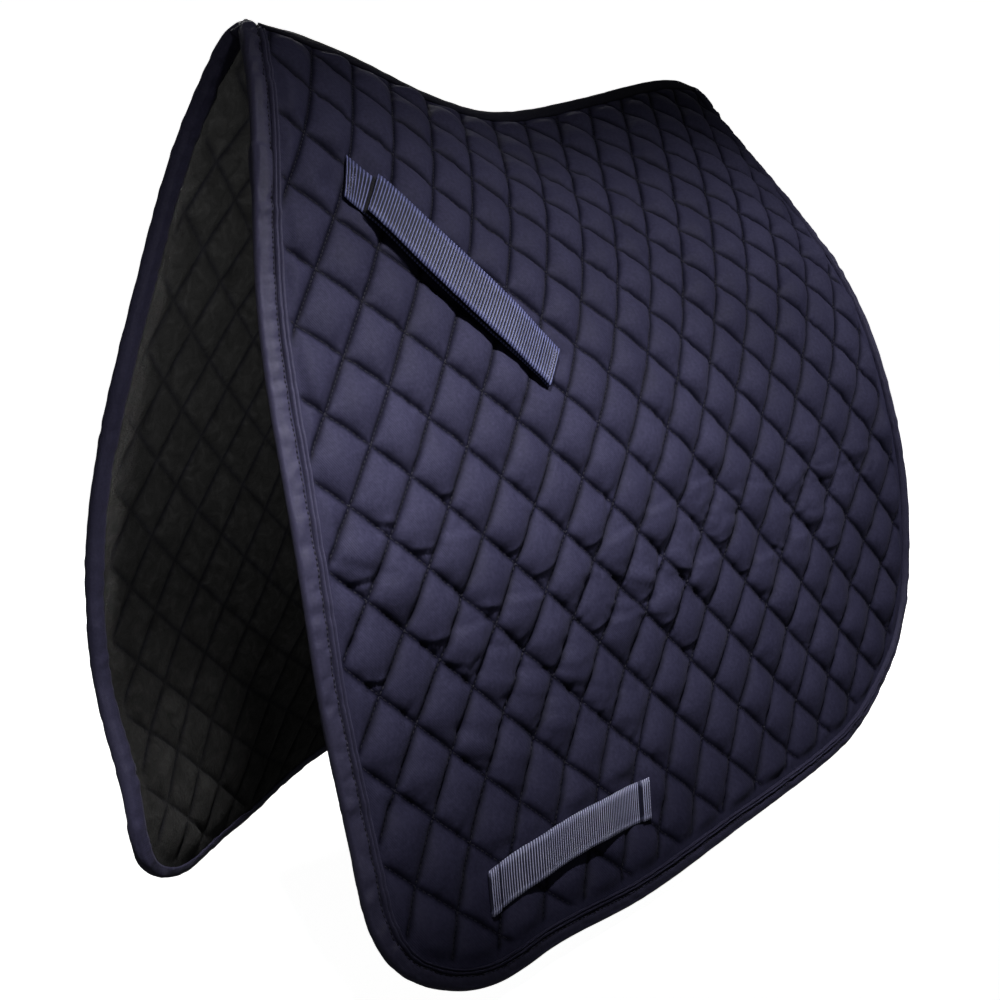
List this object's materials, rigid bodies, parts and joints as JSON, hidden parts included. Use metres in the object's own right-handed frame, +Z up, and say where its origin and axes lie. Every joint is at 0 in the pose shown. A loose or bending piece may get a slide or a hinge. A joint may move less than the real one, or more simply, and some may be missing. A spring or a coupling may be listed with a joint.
{
  "type": "saddle pad",
  "caption": "Quilted all-purpose saddle pad: padded halves joined along a contoured spine, with bound and piped edges, billet straps and girth keeper loops on each side.",
  "frame": {"origin": "underside of the seam tape at mid spine, where the pad lies on the horse's back", "axes": "+X to the horse's left, +Y along the spine towards the tail, +Z up"},
  "size_m": [0.424, 0.6799, 0.5856],
  "materials": {
    "navy_shell": "satin woven cotton, diamond quilted",
    "wadding": "loose fibre wadding",
    "lining": "brushed fleece",
    "edge_tape": "woven twill tape",
    "seam_tape": "woven tape",
    "webbing": "ribbed woven webbing",
    "touch_tape": "hook and loop pile",
    "thread": "satin thread"
  },
  "bodies": {
    "spine": {"seam_tape": "seam_tape"},
    "left_flap": {"left_outer_panel": "navy_shell", "left_wadding": "wadding", "left_lining": "lining", "left_binding": "edge_tape", "left_piping": "edge_tape", "left_spine_tape": "edge_tape", "left_strap_base": "webbing", "left_strap_loop_tape": "touch_tape", "left_strap_tack_upper": "thread", "left_strap_tack_lower": "thread", "left_keeper": "webbing", "left_keeper_tab_front": "webbing", "left_keeper_tab_rear": "webbing"},
    "left_tongue": {"left_strap_tongue": "webbing", "left_strap_hook_tape": "touch_tape"},
    "right_flap": {"right_outer_panel": "navy_shell", "right_wadding": "wadding", "right_lining": "lining", "right_binding": "edge_tape", "right_piping": "edge_tape", "right_spine_tape": "edge_tape", "right_strap_base": "webbing", "right_strap_loop_tape": "touch_tape", "right_strap_tack_upper": "thread", "right_strap_tack_lower": "thread", "right_keeper": "webbing", "right_keeper_tab_front": "webbing", "right_keeper_tab_rear": "webbing"},
    "right_tongue": {"right_strap_tongue": "webbing", "right_strap_hook_tape": "touch_tape"}
  },
  "joints": [
    {"name": "left_flap_lift", "type": "hinge", "parent": "spine", "child": "left_flap", "pos_m": [0, 0, 0.0595], "axis": [0, -1, 0], "range_deg": [0, 40]},
    {"name": "left_tongue_peel", "type": "hinge", "parent": "left_flap", "child": "left_tongue", "pos_m": [0.12968, -0.19026, -0.16899], "axis": [-0.006, 0.8457, 0.5336], "range_deg": [0, 110]},
    {"name": "right_flap_lift", "type": "hinge", "parent": "spine", "child": "right_flap", "pos_m": [0, 0, 0.0595], "axis": [0, 1, 0], "range_deg": [0, 40]},
    {"name": "right_tongue_peel", "type": "hinge", "parent": "right_flap", "child": "right_tongue", "pos_m": [-0.12968, -0.19026, -0.16899], "axis": [-0.006, -0.8457, -0.5336], "range_deg": [0, 110]}
  ]
}
